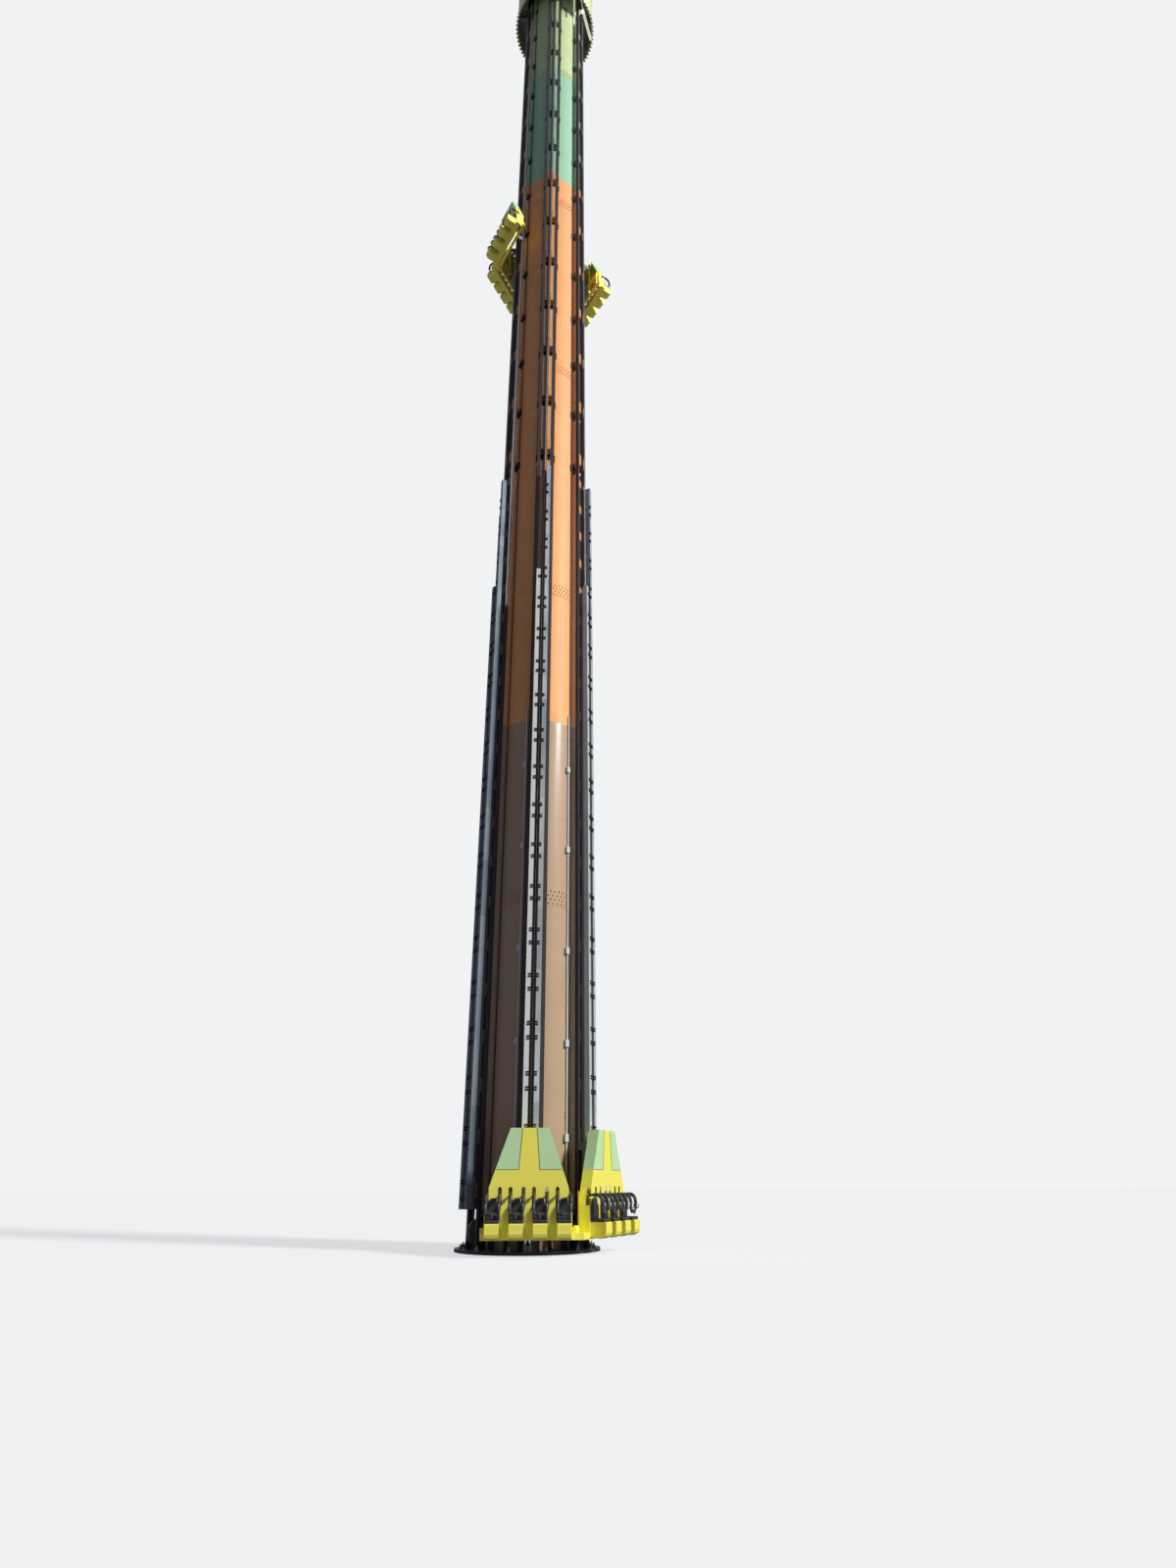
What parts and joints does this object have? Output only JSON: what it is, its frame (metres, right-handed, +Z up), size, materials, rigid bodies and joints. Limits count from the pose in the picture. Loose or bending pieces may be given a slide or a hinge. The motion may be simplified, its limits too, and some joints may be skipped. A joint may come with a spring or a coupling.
{
  "type": "drop tower ride, 1:2 scale model",
  "caption": "Drop tower ride at half scale: steel column with guide rails, brake fins, crown and three V-shaped gondolas that slide up and down.",
  "frame": {"origin": "centre of the base flange's lower face, on the ground and on the tower axis", "axes": "+Z up along the column, -Y towards the front of the ride, +X to the right seen from the front"},
  "size_m": [3.0582, 2.91, 34.15],
  "materials": {
    "base_steel": "satin",
    "sheave_steel": "greased",
    "rope_steel": "greased wire rope",
    "column_brown": "gloss paint",
    "column_orange": "gloss paint",
    "column_teal": "gloss paint",
    "column_pale_green": "gloss paint",
    "rail_steel": "dark greased steel",
    "carrier_paint": "paint as the column beside it",
    "fin_steel": "bare brake fin",
    "crown_paint": "gloss paint",
    "deck_paint": "satin",
    "gondola_yellow": "gloss paint",
    "panel_green": "gloss paint",
    "seat_black": "moulded vinyl",
    "harness_black": "foam over steel tube",
    "carriage_steel": "satin"
  },
  "bodies": {
    "tower": {"base_flange": "base_steel", "rope_sheaves": "sheave_steel", "hoist_ropes": "rope_steel", "column_section_1": "column_brown", "column_section_2": "column_orange", "column_section_3": "column_orange", "column_section_4": "column_orange", "column_section_5": "column_teal", "column_section_6": "column_pale_green", "crown_deck": "deck_paint", "crown_skirt": "crown_paint", "crown_roof": "crown_paint", "front_guide_rails": "rail_steel", "front_rail_carriers": "carrier_paint", "front_brake_fins": "fin_steel", "right_guide_rails": "rail_steel", "right_rail_carriers": "carrier_paint", "right_brake_fins": "fin_steel", "left_guide_rails": "rail_steel", "left_rail_carriers": "carrier_paint", "left_brake_fins": "fin_steel"},
    "front_gondola": {"front_frame": "gondola_yellow", "front_hoods": "gondola_yellow", "front_green_panels": "panel_green", "front_seat_pans": "gondola_yellow", "front_cushions": "seat_black", "front_carriages": "carriage_steel"},
    "front_harness_row_1": {"front_harness_1": "harness_black"},
    "front_harness_row_2": {"front_harness_2": "harness_black"},
    "right_gondola": {"right_frame": "gondola_yellow", "right_hoods": "gondola_yellow", "right_green_panels": "panel_green", "right_seat_pans": "gondola_yellow", "right_cushions": "seat_black", "right_carriages": "carriage_steel"},
    "right_harness_row_1": {"right_harness_1": "harness_black"},
    "right_harness_row_2": {"right_harness_2": "harness_black"},
    "left_gondola": {"left_frame": "gondola_yellow", "left_hoods": "gondola_yellow", "left_green_panels": "panel_green", "left_seat_pans": "gondola_yellow", "left_cushions": "seat_black", "left_carriages": "carriage_steel"},
    "left_harness_row_1": {"left_harness_1": "harness_black"},
    "left_harness_row_2": {"left_harness_2": "harness_black"}
  },
  "joints": [
    {"name": "front_lift", "type": "slide", "parent": "tower", "child": "front_gondola", "axis": [0, 0, 1], "range_m": [0, 30.66]},
    {"name": "front_harness_1_swing", "type": "hinge", "parent": "front_gondola", "child": "front_harness_row_1", "pos_m": [0, -1.2, 0.69], "axis": [-1, 0, 0], "range_deg": [0, 60]},
    {"name": "front_harness_2_swing", "type": "hinge", "parent": "front_gondola", "child": "front_harness_row_2", "pos_m": [1.03923, -0.6, 0.69], "axis": [-0.5, -0.866, 0], "range_deg": [0, 60]},
    {"name": "right_lift", "type": "slide", "parent": "tower", "child": "right_gondola", "axis": [0, 0, 1], "range_m": [-20.41, 10.25]},
    {"name": "right_harness_1_swing", "type": "hinge", "parent": "right_gondola", "child": "right_harness_row_1", "pos_m": [1.03923, 0.6, 21.1], "axis": [0.5, -0.866, 0], "range_deg": [0, 60]},
    {"name": "right_harness_2_swing", "type": "hinge", "parent": "right_gondola", "child": "right_harness_row_2", "pos_m": [0, 1.2, 21.1], "axis": [1, 0, 0], "range_deg": [0, 60]},
    {"name": "left_lift", "type": "slide", "parent": "tower", "child": "left_gondola", "axis": [0, 0, 1], "range_m": [-20.76, 9.9]},
    {"name": "left_harness_1_swing", "type": "hinge", "parent": "left_gondola", "child": "left_harness_row_1", "pos_m": [-1.03923, 0.6, 21.45], "axis": [0.5, 0.866, 0], "range_deg": [0, 60]},
    {"name": "left_harness_2_swing", "type": "hinge", "parent": "left_gondola", "child": "left_harness_row_2", "pos_m": [-1.03923, -0.6, 21.45], "axis": [-0.5, 0.866, 0], "range_deg": [0, 60]}
  ]
}
